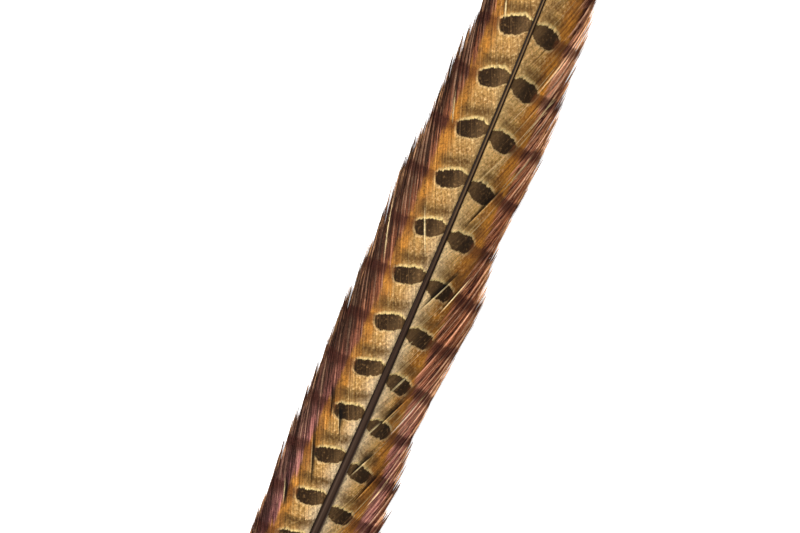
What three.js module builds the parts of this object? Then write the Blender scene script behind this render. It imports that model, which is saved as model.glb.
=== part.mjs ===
// A cock pheasant's long tail feather, lying face up on a flat surface.
//
// Millimetres, +Z up. +X runs from the end of the quill to the tip. The origin is the middle of the feather's
// footprint, on the surface that it lies on. Every outline is worked out from `s`, the distance along the shaft
// from the end of the quill, and from `reach`, how far out from the shaft a barb gets.

import * as THREE from "three";

// ---- Driving dimensions -------------------------------------------------------------------------------------

const SHAFT_LENGTH = 541;
const DOWN_FROM = 36; // the quill is bare below this
const WEB_FROM = 64; // the first barb that is hooked into the web
const WEB_TO = 540;
const GAP = 0.3; // between a piece and its neighbour
const SIDE_BOW = 7; // how far the middle of the shaft bows out sideways from its two ends
const SHAFT_DEPTH = 1.04; // the shaft's height over its width

// Along the shaft: [s, value], read as one smooth curve.
const SHAFT_WIDTH = [[0, 1.7], [5, 2.9], [14, 4.2], [26, 4.6], [46, 4.5], [118, 3.9], [178, 3.0], [250, 2.2],
  [332, 1.8], [440, 1.15], [541, 0.45]];
const SHAFT_HEIGHT = [[0, 2.9], [20, 2.45], [60, 3.3], [130, 5.6], [230, 7.0], [330, 6.1], [430, 3.8], [500, 2.0],
  [541, 1.0]];

// By the place on the shaft that a barb grows from: how far out it reaches, and how many times further it runs
// towards the tip than it reaches out.
const RIGHT_REACH = [[36, 9], [48, 15], [64, 20.5], [80, 22.6], [110, 22.9], [160, 22.4], [220, 21.6], [290, 19.9],
  [350, 17.5], [408, 14.4], [470, 9.6], [513, 5.2], [540, 1.8]];
const LEFT_TO_RIGHT = [[36, 1.02], [64, 1.04], [110, 1.1], [200, 1.12], [290, 1.06], [350, 1.03], [540, 1]];
const FORWARD_RUN = [[36, 0.7], [48, 1.1], [64, 1.6], [80, 2.2], [110, 2.6], [160, 2.75], [400, 2.9], [500, 3.1],
  [540, 4.2]];
const START_OF_RUN = 0.69; // a barb's forward lean where it leaves the shaft, over its mean forward lean
const SWEEP = 1.8; // how late along its length a barb bends forward

const WEB_THICKNESS = { shaft: 1.0, margin: 0.6 };
const WEB_SEAT = 0.45; // how far above the shaft's middle the web joins it, over half its width
const WEB_LIES_FLAT_FROM = 0.84; // the outer share of each barb lies on the surface
const DOWN_HEIGHT = 6.5;
const DOWN_EDGE = 1.2;

// ---- Curves -------------------------------------------------------------------------------------------------

// Reads a list of [s, value] pairs as one smooth curve.
function along(pairs, s) {
  const last = pairs.length - 1;
  if (s <= pairs[0][0]) return pairs[0][1];
  if (s >= pairs[last][0]) return pairs[last][1];
  const i = pairs.findIndex(([at]) => at > s) - 1;
  const slope = (n) => {
    const [s0, v0] = pairs[Math.max(n - 1, 0)];
    const [s1, v1] = pairs[Math.min(n + 1, last)];
    return (v1 - v0) / (s1 - s0);
  };
  const [s0, v0] = pairs[i];
  const [s1, v1] = pairs[i + 1];
  const step = s1 - s0;
  const x = (s - s0) / step;
  const ease = x * x * (3 - 2 * x);
  const bend = slope(i) * step * x * (1 - x) ** 2 - slope(i + 1) * step * x ** 2 * (1 - x);
  return v0 + (v1 - v0) * ease + bend;
}

const sideways = (s) => SIDE_BOW * (2 * s / SHAFT_LENGTH - 1) ** 2;
const halfWidth = (s) => along(SHAFT_WIDTH, s) / 2;

// The shape of a barb's path: 0 to 1 along its reach gives 0 to 1 along its run.
const forward = (out) => out * (START_OF_RUN + (1 - START_OF_RUN) * out ** SWEEP);

// How much of the shaft's height the web still has at `out`, from 1 beside the shaft to 0 where it lies flat.
function slopeDown(out) {
  const x = Math.min(out / WEB_LIES_FLAT_FROM, 1);
  const leaving = -0.6;
  const landing = -0.3;
  return 1 - x * x * (3 - 2 * x) + leaving * x * (1 - x) ** 2 - landing * x ** 2 * (1 - x);
}

// A point of the vane on one side (1 left, -1 right): `root` is where its barb leaves the shaft, `out` runs from
// 0 at the shaft to 1 at the barb's end, and `height` takes s and out.
function onBarb(side, root, out, height) {
  const widening = side > 0 ? along(LEFT_TO_RIGHT, root) : 1;
  const reach = along(RIGHT_REACH, root) * widening;
  const s = root + reach * along(FORWARD_RUN, root) * forward(out);
  const inner = halfWidth(s) + GAP;
  const aside = inner + Math.max(reach - inner, 0) * out;
  return new THREE.Vector3(s, sideways(s) + side * aside, height(s, out));
}

// ---- Solids -------------------------------------------------------------------------------------------------

// A closed body through a row of rings with the same number of points. Each ring runs out along the top of its
// section and back along the bottom, so an end is closed by zipping the top to the bottom.
function loft(rings) {
  const count = rings[0].length;
  const index = [];
  for (let i = 0; i + 1 < rings.length; i++) {
    for (let j = 0; j < count; j++) {
      const near = i * count + j;
      const nearNext = i * count + (j + 1) % count;
      index.push(near, near + count, nearNext + count, near, nearNext + count, nearNext);
    }
  }
  const close = (first, flip) => {
    for (let j = 0; j + 1 < count / 2; j++) {
      const top = first + j;
      const bottom = first + count - 1 - j;
      const faces = [[top, bottom, top + 1], [bottom, bottom - 1, top + 1]];
      faces.forEach(([a, b, c]) => index.push(a, flip ? c : b, flip ? b : c));
    }
  };
  close(0, true);
  close((rings.length - 1) * count, false);
  const geometry = new THREE.BufferGeometry().setFromPoints(rings.flat());
  geometry.setIndex(index);
  geometry.computeVertexNormals();
  return geometry;
}

// `count` + 1 even steps from `from` to `to`.
const steps = (from, to, count) => Array.from({ length: count + 1 }, (_, i) => from + (to - from) * i / count);

// A rounded box section: flatter sides than an ellipse has.
function shaftRing(s) {
  const points = 14;
  const squareness = 0.82;
  const bulge = (x) => Math.sign(x) * Math.abs(x) ** squareness;
  return steps(0, 1, points - 1).map((_, i) => {
    const turn = Math.PI * (1 - (2 * i + 1) / points);
    const y = sideways(s) + halfWidth(s) * bulge(Math.cos(turn));
    const z = along(SHAFT_HEIGHT, s) + SHAFT_DEPTH * halfWidth(s) * bulge(Math.sin(turn));
    return new THREE.Vector3(s, y, z);
  });
}

// One side of the feather between two roots, from its lower and upper surfaces.
function sideSolid(side, roots, outs, under, over) {
  const rings = roots.map((root) => {
    const upper = outs.map((out) => onBarb(side, root, out, (s) => over(root, s, out)));
    const lower = outs.map((out) => onBarb(side, root, out, (s) => under(root, s, out)));
    const ring = [...upper, ...lower.reverse()];
    return side > 0 ? ring : ring.reverse();
  });
  return loft(rings);
}

// ---- The pieces ---------------------------------------------------------------------------------------------

function shaft() {
  const quillEnd = [0, 2, 5, 9, 14, 20, 26];
  return loft([...quillEnd, ...steps(36, SHAFT_LENGTH, 52)].map(shaftRing));
}

function vane(side) {
  const outs = [0, 0.14, 0.3, 0.48, 0.66, WEB_LIES_FLAT_FROM, 1];
  const underside = (_, s, out) => {
    const seat = along(SHAFT_HEIGHT, s) + WEB_SEAT * halfWidth(s);
    return Math.max(seat - WEB_THICKNESS.shaft / 2, 0) * slopeDown(out);
  };
  const topside = (_, s, out) =>
    underside(_, s, out) + THREE.MathUtils.lerp(WEB_THICKNESS.shaft, WEB_THICKNESS.margin, out);
  const roots = [...steps(WEB_FROM, 100, 6), ...steps(112, WEB_TO, 52)];
  return sideSolid(side, roots, outs, underside, topside);
}

function down(side) {
  const outs = steps(0, 1, 7);
  const stopBeforeWeb = 1.2;
  const lies = () => 0;
  const pillow = (root, s, out) => {
    const lengthwise = Math.sin(Math.PI * Math.min((root - DOWN_FROM + 3) / 24, 0.62));
    const beside = along(SHAFT_HEIGHT, s) + halfWidth(s);
    return THREE.MathUtils.lerp(DOWN_EDGE, Math.max(DOWN_HEIGHT, beside) * lengthwise, 1 - out ** 2.5);
  };
  return sideSolid(side, steps(DOWN_FROM, WEB_FROM - stopBeforeWeb, 9), outs, lies, pillow);
}

const HORN = { color: 0x4a3c33, roughness: 0.45, metalness: 0 };
const WEB = { color: 0xa9854c, roughness: 0.75, metalness: 0 };
const DOWN = { color: 0x8d8277, roughness: 0.95, metalness: 0 };
const LEFT = 1;
const RIGHT = -1;

function piece(name, geometry, finish) {
  const mesh = new THREE.Mesh(geometry, new THREE.MeshStandardMaterial(finish));
  mesh.name = name;
  return mesh;
}

const feather = new THREE.Group();
feather.name = "pheasant_tail_feather";
feather.add(
  piece("shaft", shaft(), HORN),
  piece("left_vane", vane(LEFT), WEB),
  piece("right_vane", vane(RIGHT), WEB),
  piece("left_down", down(LEFT), DOWN),
  piece("right_down", down(RIGHT), DOWN),
);

// The origin goes to the middle of the footprint, on the surface.
const box = new THREE.Box3().setFromObject(feather, true);
const middle = box.getCenter(new THREE.Vector3());
feather.position.set(-middle.x, -middle.y, -box.min.z);

export default feather;
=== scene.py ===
# %% [markdown]
# # A cock pheasant's tail feather
#
# A tail feather is a stiff tapering shaft with a flat web on each side. A web is hundreds of barbs, thin
# blades of horn that grow out of the shaft and lean towards the tip. Near the shaft the barbs hook into
# each other and make a closed surface. Towards the margin they lose their hooks and end as loose hair. At
# the foot of the feather they are soft down.
#
# A flat card with a feather painted on it would look right from one side only. So this lesson builds
# every barb as a thin closed strip, and one material colours all of them by where they are on the
# feather. The dark bars then break up along the barbs by themselves, as they do on a real feather.
#
# The CAD frame comes first. It holds the true size and place of each piece.

# %% Load the frame
import math

import bpy
import numpy as np
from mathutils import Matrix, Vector


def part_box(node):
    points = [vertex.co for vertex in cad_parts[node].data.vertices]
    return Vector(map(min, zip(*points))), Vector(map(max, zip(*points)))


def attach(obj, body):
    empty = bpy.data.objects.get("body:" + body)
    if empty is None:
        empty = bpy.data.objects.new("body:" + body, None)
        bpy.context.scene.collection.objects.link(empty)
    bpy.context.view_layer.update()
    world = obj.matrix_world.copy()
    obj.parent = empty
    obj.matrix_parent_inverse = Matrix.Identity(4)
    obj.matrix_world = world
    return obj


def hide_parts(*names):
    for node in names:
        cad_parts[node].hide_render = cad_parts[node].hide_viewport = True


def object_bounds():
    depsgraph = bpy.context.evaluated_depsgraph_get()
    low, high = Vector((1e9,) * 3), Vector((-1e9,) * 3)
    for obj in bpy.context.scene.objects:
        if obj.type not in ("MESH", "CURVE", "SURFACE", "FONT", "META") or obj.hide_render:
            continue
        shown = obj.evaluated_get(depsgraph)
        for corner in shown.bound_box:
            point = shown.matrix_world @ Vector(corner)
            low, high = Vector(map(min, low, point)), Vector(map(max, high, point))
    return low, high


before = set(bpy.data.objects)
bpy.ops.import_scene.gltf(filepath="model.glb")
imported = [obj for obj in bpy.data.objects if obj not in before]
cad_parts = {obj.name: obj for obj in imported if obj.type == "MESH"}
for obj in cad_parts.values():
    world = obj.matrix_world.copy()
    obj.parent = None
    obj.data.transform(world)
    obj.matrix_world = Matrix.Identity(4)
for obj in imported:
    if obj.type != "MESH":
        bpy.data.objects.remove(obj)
cad_low, cad_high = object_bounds()
print("frame nodes:", sorted(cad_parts))
print("frame size in mm:", [round(1000 * side, 1) for side in cad_high - cad_low])

# %% [markdown]
# ## Curves from a few points
#
# Everything is placed by `s`, the distance in millimetres along the shaft from the end of the quill.
# Widths, heights and lengths change slowly along it. A short list of places and values with a smooth
# curve through them says all that is needed, and is easier to change by hand than a drawn spline.

# %% Read a curve
MM = 0.001  # the feather is measured in millimetres and built in metres


def along(pairs, s):
    """Reads a list of (place, value) pairs as one smooth curve, at one place or at an array of them."""
    places, values = np.array(pairs, float).T
    count = len(places)
    before = np.maximum(np.arange(count) - 1, 0)
    after = np.minimum(np.arange(count) + 1, count - 1)
    slope = (values[after] - values[before]) / (places[after] - places[before])
    s = np.clip(s, places[0], places[-1])
    i = np.clip(np.searchsorted(places, s, side="right") - 1, 0, count - 2)
    step = places[i + 1] - places[i]
    x = (s - places[i]) / step
    ease = x * x * (3 - 2 * x)
    bend = slope[i] * step * x * (1 - x) ** 2 - slope[i + 1] * step * x**2 * (1 - x)
    return values[i] + (values[i + 1] - values[i]) * ease + bend


print("halfway between 10 and 20 a curve reads", along([(0, 10), (1, 20)], 0.5))

# %% [markdown]
# ## The line of the shaft
#
# The quill is thickest where it leaves the skin, and from there the shaft tapers to a hair. It bows a
# little to the side, and its middle stands off the ground. The frame has the feather centred on its
# footprint, so one shift lines the curves up with it.

# %% Curves of the shaft
SHAFT_LENGTH = 541
SHAFT_WIDTH = [(0, 1.7), (5, 2.9), (14, 4.2), (26, 4.6), (46, 4.5), (118, 3.9), (178, 3.0), (250, 2.2),
               (332, 1.8), (440, 1.15), (520, 0.6), (541, 0.14)]
SHAFT_HEIGHT = [(0, 2.9), (20, 2.45), (60, 3.3), (130, 5.6), (230, 7.0), (330, 6.1), (430, 3.8),
                (500, 2.0), (541, 1.0)]
SIDE_BOW = 7  # how far both ends stand to the left of the shaft's middle


def sideways(s):
    """How far the shaft's middle stands to the left, before the feather is centred on its footprint."""
    return SIDE_BOW * (2 * s / SHAFT_LENGTH - 1) ** 2


def shaft_half(s):
    """Half the shaft's width."""
    return along(SHAFT_WIDTH, s) / 2


every_mm = np.arange(0, SHAFT_LENGTH)
right_edge = np.min(sideways(every_mm) - shaft_half(every_mm))
FIRST_X = cad_low.x / MM
SIDE_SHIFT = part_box("shaft")[0].y / MM - right_edge


def in_frame(points):
    """Feather coordinates in mm (s, left of the shaft's own zero, up) to metres in the CAD frame."""
    return (points + np.array([FIRST_X, SIDE_SHIFT, 0])) * MM


print("the quill ends at x =", round(FIRST_X, 2), "mm; sideways shift", round(SIDE_SHIFT, 2), "mm")

# %% [markdown]
# ## The path of a barb
#
# A barb leaves the shaft at about 28 degrees and bends forward until it almost runs along the feather.
# Its place is given by its root, the `s` that it grows from, and by `out`, which runs from 0 at the shaft
# to 1 at its end. The last barbs close in front of the shaft's tip.

# %% Paths of the barbs
LEFT = 1
RIGHT = -1
WEB_TO = 540  # root of the last barb
RIGHT_REACH = [(36, 9), (48, 15), (64, 20.5), (80, 22.6), (110, 22.9), (160, 22.4), (220, 21.6),
               (290, 19.9), (350, 17.5), (408, 14.4), (470, 9.6), (513, 5.2), (540, 1.8)]
LEFT_TO_RIGHT = [(36, 1.02), (64, 1.04), (110, 1.1), (200, 1.12), (290, 1.06), (350, 1.03), (540, 1)]
FORWARD_RUN = [(36, 0.7), (48, 1.1), (64, 1.6), (80, 2.2), (110, 2.6), (160, 2.75), (400, 2.9),
               (500, 3.1), (540, 4.2)]  # mm forward for each mm of reach
START_OF_RUN = 0.69  # how steeply a barb starts forward, next to a straight one
SWEEP = 1.8  # how late it bends
ROOT_PLACE = 0.8  # where it grows out of the shaft, as a share of the half width
CLOSES_FROM = 524
CLOSED_BY = 0.9


def reach_of(side, root):
    """How far out from the shaft's middle the barb of this root gets."""
    widening = along(LEFT_TO_RIGHT, root) if side == LEFT else 1
    return along(RIGHT_REACH, root) * widening


def barb_path(side, root, out, fullness=1):
    """(s, aside) of points on barbs: how far along the feather, and how far from the shaft's middle."""
    reach = reach_of(side, root) * fullness
    forward = out * (START_OF_RUN + (1 - START_OF_RUN) * out**SWEEP)
    s = root + reach * along(FORWARD_RUN, root) * forward
    inner = ROOT_PLACE * shaft_half(s)
    closing = 1 - CLOSED_BY * np.clip((root - CLOSES_FROM) / (WEB_TO - CLOSES_FROM), 0, 1)
    return s, inner + np.maximum(reach - inner, 0) * out * closing


sample = barb_path(RIGHT, np.array(200.0), np.array([0.0, 1.0]))
print("a barb from 200 mm ends", round(sample[0][1] - 200), "mm on and", round(sample[1][1]), "mm out")

# %% [markdown]
# ## The roof of the web
#
# Seen from its end, a web falls away from the shaft like a low roof, and its outer part lies flat on the
# ground. One cubic between two slopes gives that form.

# %% Height of the web
WEB_THICKNESS = (1.0, 0.6)  # at the shaft and at the margin
WEB_SEAT = 0.45  # how high on the shaft the web sits, as a share of the half width
WEB_LIES_FLAT_FROM = 0.84
SLOPE_AT_SHAFT = -0.6
SLOPE_AT_GROUND = -0.3


def smooth(x, low, high):
    """0 below `low`, 1 above `high` and a soft step between them."""
    x = np.clip((x - low) / (high - low), 0, 1)
    return x * x * (3 - 2 * x)


def web_height(s, out):
    """Height of the middle of the web."""
    thickness = WEB_THICKNESS[0] + (WEB_THICKNESS[1] - WEB_THICKNESS[0]) * out
    seat = along(SHAFT_HEIGHT, s) + WEB_SEAT * shaft_half(s)
    x = np.clip(out / WEB_LIES_FLAT_FROM, 0, 1)
    fall = (1 - x * x * (3 - 2 * x) + SLOPE_AT_SHAFT * x * (1 - x) ** 2
            - SLOPE_AT_GROUND * x**2 * (1 - x))
    return np.maximum(seat - WEB_THICKNESS[0] / 2, 0) * fall + thickness / 2


heights = web_height(250.0, np.array([0, 0.5, 1]))
print("height of the web at 250 mm, from the shaft outwards:", np.round(heights, 1), "mm")

# %% [markdown]
# ## A mesh from arrays
#
# The feather needs hundreds of thousands of faces. Adding them one by one in Python would be slow, so
# whole arrays go into the mesh at once. Each point also carries values, such as its place on the feather,
# that the material reads later. The flat map gives every face a place of its own, for baking colours.

# %% Make a mesh
def add_object(name, data):
    """A new object in the scene."""
    made = bpy.data.objects.new(name, data)
    bpy.context.scene.collection.objects.link(made)
    return made


def mesh_object(name, points, faces, values, flat_map):
    """A mesh of quads with a float value per point for each name in `values`, and a map for baking."""
    mesh = bpy.data.meshes.new(name)
    mesh.vertices.add(len(points))
    mesh.vertices.foreach_set("co", in_frame(points).astype(np.float32).ravel())
    mesh.loops.add(faces.size)
    mesh.loops.foreach_set("vertex_index", faces.astype(np.int32).ravel())
    mesh.polygons.add(len(faces))
    mesh.polygons.foreach_set("loop_start", np.arange(0, faces.size, 4, dtype=np.int32))
    mesh.update(calc_edges=True)
    for value_name, numbers in values.items():
        attribute = mesh.attributes.new(value_name, "FLOAT", "POINT")
        attribute.data.foreach_set("value", np.ascontiguousarray(numbers, np.float32).ravel())
    bake_map = mesh.uv_layers.new(name="OFBake")
    bake_map.data.foreach_set("uv", flat_map.astype(np.float32).ravel())
    print(name, "has", 2 * len(faces), "triangles")
    return add_object(name, mesh)


def map_corners(left, right, low, high):
    """The four corners of each face in the flat map, from its sides."""
    left, right, low, high = np.broadcast_arrays(left, right, low, high)
    pairs = ((left, low), (right, low), (right, high), (left, high))
    return np.stack([np.stack(pair, -1) for pair in pairs], axis=-2)


print("the corners of the whole map:", map_corners(0, 1, 0, 1).tolist())

# %% [markdown]
# ## Many strips in one mesh
#
# Barbs, hairs and down are all the same kind of thing: a long thin blade. Each is built as a closed strip
# with a diamond section, so that it has a ridge along its top like the stem of a real barb. Where
# neighbours overlap, the ridges stand up and the sides dip under each other, which gives the web its fine
# grooves. In the flat map each strip has a column for its two upper faces and one for the lower two.

# %% Faces and map of the strips
CORNERS = 4  # ridge, inner edge, keel, outer edge
MAP_MARGIN = 0.04
MAP_FILL = 0.94  # share of a column's length that the strip takes up
END_SQUARE = (0.4, 0.03)


def strip_faces(count, stations):
    """The sides of all strips, then their root ends, then their tip ends."""
    corner = np.arange(CORNERS)
    beside = (corner + 1) % CORNERS
    near = (np.arange(count)[:, None] * stations + np.arange(stations - 1))[..., None] * CORNERS
    far = near + CORNERS
    sides = np.stack([near + corner, near + beside, far + beside, far + corner], axis=-1)
    root_end = np.arange(count)[:, None] * stations * CORNERS + corner[::-1]
    tip_end = root_end[:, ::-1] + (stations - 1) * CORNERS
    return np.concatenate([sides.reshape(-1, 4), root_end, tip_end])


def strip_map(count, stations, map_rows):
    """The flat map of those faces, with the columns of all strips in `map_rows` rows."""
    columns = math.ceil(count / map_rows)
    column = (np.arange(count) % columns)[:, None, None]
    row = (np.arange(count) // columns)[:, None, None]
    below = np.array([0, 1, 1, 0])
    place = np.array([0.5, 0.0, 0.5, 0.0])
    left = (below * columns + column + place) / (2 * columns)
    step = np.arange(stations - 1)[None, :, None] / (stations - 1)
    low = (row + MAP_MARGIN + MAP_FILL * step) / map_rows
    sides = map_corners(left, left + 0.5 / (2 * columns), low, low + MAP_FILL / (stations - 1) / map_rows)
    square = np.array([(0, 0), (1, 0), (1, 1), (0, 1)])
    square = square * [END_SQUARE[0] / (2 * columns), END_SQUARE[1] / map_rows]
    at = np.concatenate([column[:, 0] / (2 * columns), row[:, 0] / map_rows], axis=-1)[:, None]
    return np.concatenate([sides.reshape(-1, 4, 2), at + square, at + square + [0.5, 0]])


print("one strip of 3 stations has", len(strip_faces(1, 3)), "faces")

# %% [markdown]
# ## From paths to strips
#
# Any path can carry a blade. At each station one direction runs ahead, one lies level across it, and the
# ridge stands at right angles to both. Each point also gets a value, `edge`, that says which side of the
# ridge it is on, so that the material can draw across a single barb.

# %% Build strips
def unit(vectors):
    """The same directions with length 1."""
    return vectors / np.maximum(np.linalg.norm(vectors, axis=-1, keepdims=True), 1e-9)


def strips(name, path, half_width, half_depth, values, map_rows):
    """Closed strips along `path`, an array of (strip, station, 3) in millimetres."""
    shape = path.shape[:2]
    ahead = unit(np.gradient(path, axis=1))
    across = unit(np.cross(ahead, [0, 0, 1.0]))
    ridge = np.cross(across, ahead)
    half_width = np.broadcast_to(half_width, shape)[..., None]
    half_depth = np.broadcast_to(half_depth, shape)[..., None]
    rings = np.stack([path + ridge * half_depth, path + across * half_width,
                      path - ridge * half_depth, path - across * half_width], axis=2)
    spread = {key: np.repeat(np.broadcast_to(value, shape)[..., None], CORNERS, axis=2)
              for key, value in values.items()}
    spread["edge"] = np.broadcast_to([0.0, 1.0, 0.0, -1.0], (*shape, CORNERS))
    flat_map = strip_map(*shape, map_rows)
    return mesh_object(name, rings.reshape(-1, 3), strip_faces(*shape), spread, flat_map)


print("a vector of 3 and 4 becomes", unit(np.array([3.0, 4.0])))

# %% [markdown]
# ## Wisps
#
# A perfect fan of barbs looks like a comb. On a real feather the loose ends cling together in wisps, and
# the margin runs in and out. All of this is made by moving the barbs after their colours are fixed to
# them, so a part that slips takes its piece of the pattern along.

# %% Sort barbs into wisps
WIDE_WISP = 11  # mean width along the shaft
FINE_WISP = 3.6


class Wisps:
    """Barbs sorted into wisps of uneven width. Each array has one row per barb."""

    def __init__(self, rng, root, mean_width):
        widths = rng.gamma(3, mean_width / 3, int(3 * (root[-1, 0] - root[0, 0]) / mean_width))
        ends = root[0, 0] + np.cumsum(widths)
        self.number = np.searchsorted(ends, root)
        self.across = 1 - (ends[self.number] - root) / widths[self.number]
        self.middle = ends[self.number] - widths[self.number] / 2
        self.rng = rng

    def uneven(self, low, high):
        """A random value that all barbs of a wisp share."""
        return self.rng.uniform(low, high, self.number.max() + 1)[self.number]


trial = Wisps(np.random.default_rng(1), np.arange(0.0, 100.0)[:, None], WIDE_WISP)
print("100 mm of barbs fall into", trial.number.max() + 1, "wide wisps")

# %% [markdown]
# ## Partings and folds
#
# Here and there the hooks have let go and the web has parted, or one part has slid under the next. Each
# such place is one row in a list. Barbs near it give way, less and less with their distance from it.

# %% Part the web
# (root, first and last `out`, opening in mm, slide along the barbs in mm): a negative opening is a fold
PARTINGS = {
    RIGHT: [(233.5, 0.2, 0.62, -0.5, 2.4), (231.5, 0.5, 0.9, 0.34, 0), (205.5, 0.02, 0.46, -0.35, 0.5),
            (190.8, 0.36, 0.74, -0.45, 1.2), (190, 0.0, 0.18, 0.2, 0), (155.2, 0.0, 0.24, 0.22, 0),
            (140.5, 0.38, 0.76, 0.5, 0), (169.8, 0.08, 0.4, 0.2, 0), (153.5, 0.18, 0.44, -0.4, 0.5),
            (137.5, 0.06, 0.34, -0.35, 0), (117.5, 0.34, 0.66, -0.5, 1.4), (105, 0.6, 0.95, 0.3, 0),
            (255, 0.55, 0.95, 0.25, 0), (275, 0.5, 0.9, 0.2, 0), (330, 0.3, 0.8, 0.25, 0),
            (372, 0.45, 0.95, 0.4, 0.6), (425, 0.35, 0.9, 0.4, 0)],
    LEFT: [(221.8, 0.08, 0.5, 0.24, 0), (118, 0.28, 0.66, -0.5, 1.2), (134.5, 0.44, 0.62, -0.4, 0.6),
           (142.8, 0.2, 0.4, -0.25, 0), (94, 0.54, 0.74, -0.35, 0.4), (298, 0.46, 0.64, 0.2, 0),
           (246, 0.56, 0.78, 0.32, 0), (180, 0.6, 0.95, 0.25, 0), (352, 0.25, 0.75, 0.4, 0.5),
           (398, 0.5, 0.95, 0.4, 0), (440, 0.3, 0.85, 0.4, 0)],
}
PARTING_SPREAD = 3.5  # how far along the shaft, in mm, the barbs beside a parting give way
FOLD_RISE = 0.4
FOLD_EDGE = 0.8  # how bright the raised edge of a fold is, next to that of a parting
FOLD_SHADE = 3.6
EDGE_WIDTH = 0.7


def part(side, root, out):
    """How barbs give way at partings and folds: mm inward, forward and up, then how deep in the painted
    shade under a fold they are, and how strongly they are painted bright, as light at a parting's edges
    and as a highlight on a fold's raised edge, 0 to 1."""
    inward = np.zeros(np.broadcast_shapes(root.shape, out.shape))
    forward, up, shade, edge = (np.zeros_like(inward) for _ in range(4))
    for at, start, end, opening, slide in PARTINGS[side]:
        length = np.sin(math.pi * np.clip((out - start) / (end - start), 0, 1)) ** 0.8
        nearness = np.exp(-np.abs(root - at) / PARTING_SPREAD)
        outer = root < at
        fading = np.exp(-np.maximum(at - root, 0) / (3 * PARTING_SPREAD))
        forward += np.where(outer, slide * (smooth(out, start, (start + end) / 2) * fading), 0)
        if opening < 0:
            inward += np.where(outer, -opening / 2, 0) * length * nearness
            up += np.where(outer, FOLD_RISE, 0) * length * nearness
            under = np.where(outer, 0, length * np.exp(-(root - at) / FOLD_SHADE))
            edge_lit = np.where(outer, FOLD_EDGE, 0) * length * np.exp(-(at - root) / EDGE_WIDTH)
            shade = np.maximum(shade, under)
        else:
            inward += np.where(outer, -opening / 3, opening / 3) * length * nearness
            edge_lit = length * np.exp(-np.abs(root - at) / EDGE_WIDTH)
        edge = np.maximum(edge, edge_lit)
    return inward, forward, up, shade, edge


print(sum(len(places) for places in PARTINGS.values()), "partings and folds")

# %% [markdown]
# ## Fan out the barbs
#
# A web has some 700 barbs. They start as an even fan whose ends make a slightly uneven margin. The fan
# knows which way each barb runs and how close its neighbour is, and the next steps go by that.

# %% The even fan
WEB_FROM = 64
BARB_SPACING = 0.66
BARB_STATIONS = 26
CROWDING = 0.85  # below 1 sets the stations closer together towards a barb's end
LOOSE_FROM = 0.6
TIPS_FROM = 0.84
MARGIN_FULLNESS = {  # by the place where the barbs end: their reach over the even outline
    RIGHT: [(90, 0.97), (118, 1.0), (135, 0.95), (150, 0.91), (170, 0.83), (182, 0.87), (198, 0.92),
            (212, 1.0), (229, 0.95), (250, 0.89), (270, 1.01), (292, 0.99), (313, 0.98), (326, 0.97),
            (336, 0.91), (352, 0.97), (372, 0.93), (395, 0.98), (420, 0.94), (450, 0.98), (480, 0.94),
            (548, 1)],
    LEFT: [(90, 0.97), (120, 0.98), (150, 0.99), (172, 0.96), (198, 0.99), (222, 0.97), (250, 0.99),
           (280, 0.95), (300, 0.98), (322, 0.94), (345, 0.99), (366, 0.94), (392, 0.98), (430, 0.95),
           (470, 0.98), (548, 1)],
}
LONGER_BY = 0.03  # makes up for the thin ends, which look shorter than they are
RAGGED_ENDS = 0.022
SEEDS = {LEFT: 11, RIGHT: 23}
SIDE_NAMES = {LEFT: "left", RIGHT: "right"}


class Barbs:
    """The barbs of one web, in mm: a row for each barb and a column for each station along it."""

    def __init__(self, side, rng):
        self.side = side
        self.rng = rng
        root = np.arange(WEB_FROM, WEB_TO, BARB_SPACING)
        root = self.root = (root + rng.uniform(-0.2, 0.2, root.size) * BARB_SPACING)[:, None]
        self.out = np.linspace(0, 1, BARB_STATIONS)[None] ** CROWDING
        self.loose = smooth(self.out, LOOSE_FROM, 1)
        self.tips = smooth(self.out, TIPS_FROM, 1)
        self.wide = Wisps(rng, root, WIDE_WISP)
        self.fine = Wisps(rng, root, FINE_WISP)
        end_at = root + reach_of(side, root) * along(FORWARD_RUN, root)
        fullness = along(MARGIN_FULLNESS[side], end_at) + LONGER_BY
        ragged = 1 + rng.normal(0, RAGGED_ENDS, root.shape) + self.fine.uneven(-0.012, 0.012)
        self.reached = self.out * ragged
        self.flat = np.stack(barb_path(side, root, self.reached, fullness), axis=-1)
        self.ahead = unit(np.gradient(self.flat, axis=1))
        self.inward = np.stack([self.ahead[..., 1], -self.ahead[..., 0]], axis=-1)
        to_next = np.stack(barb_path(side, root + 1, self.reached, fullness), axis=-1) - self.flat
        self.spread = np.sum(to_next * self.inward, axis=-1)  # mm across for each mm along the shaft
        steps = np.diff(self.flat, axis=1, prepend=self.flat[:, :1])
        self.run = np.cumsum(np.linalg.norm(steps, axis=-1), axis=1)


barbs_of = {side: Barbs(side, np.random.default_rng(SEEDS[side])) for side in (LEFT, RIGHT)}
longest = barbs_of[LEFT].run.max()
print("each web has", len(barbs_of[LEFT].root), "barbs, the longest of", round(longest), "mm")

# %% [markdown]
# ## Let them stray
#
# Now the barbs of a wisp draw together towards its middle, more and more towards their ends. Each also
# waves a little, gives way at the partings, and turns in along the margin.

# %% Move the barbs in the web
WIDE_DRAW = 0.03  # how much the tips of a wide wisp draw together
FINE_DRAW = (0.06, 0.17)  # how much the loose part and the tips of a fine one do
SWAY = 0.08
WAVE = 0.06
WAVE_RUN = (3, 7)  # shortest and longest wave, over 2 pi
TUCK = 1.1  # how far the ends turn in along the margin
TUCK_FROM = 0.78
WAVER = 0.02


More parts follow.
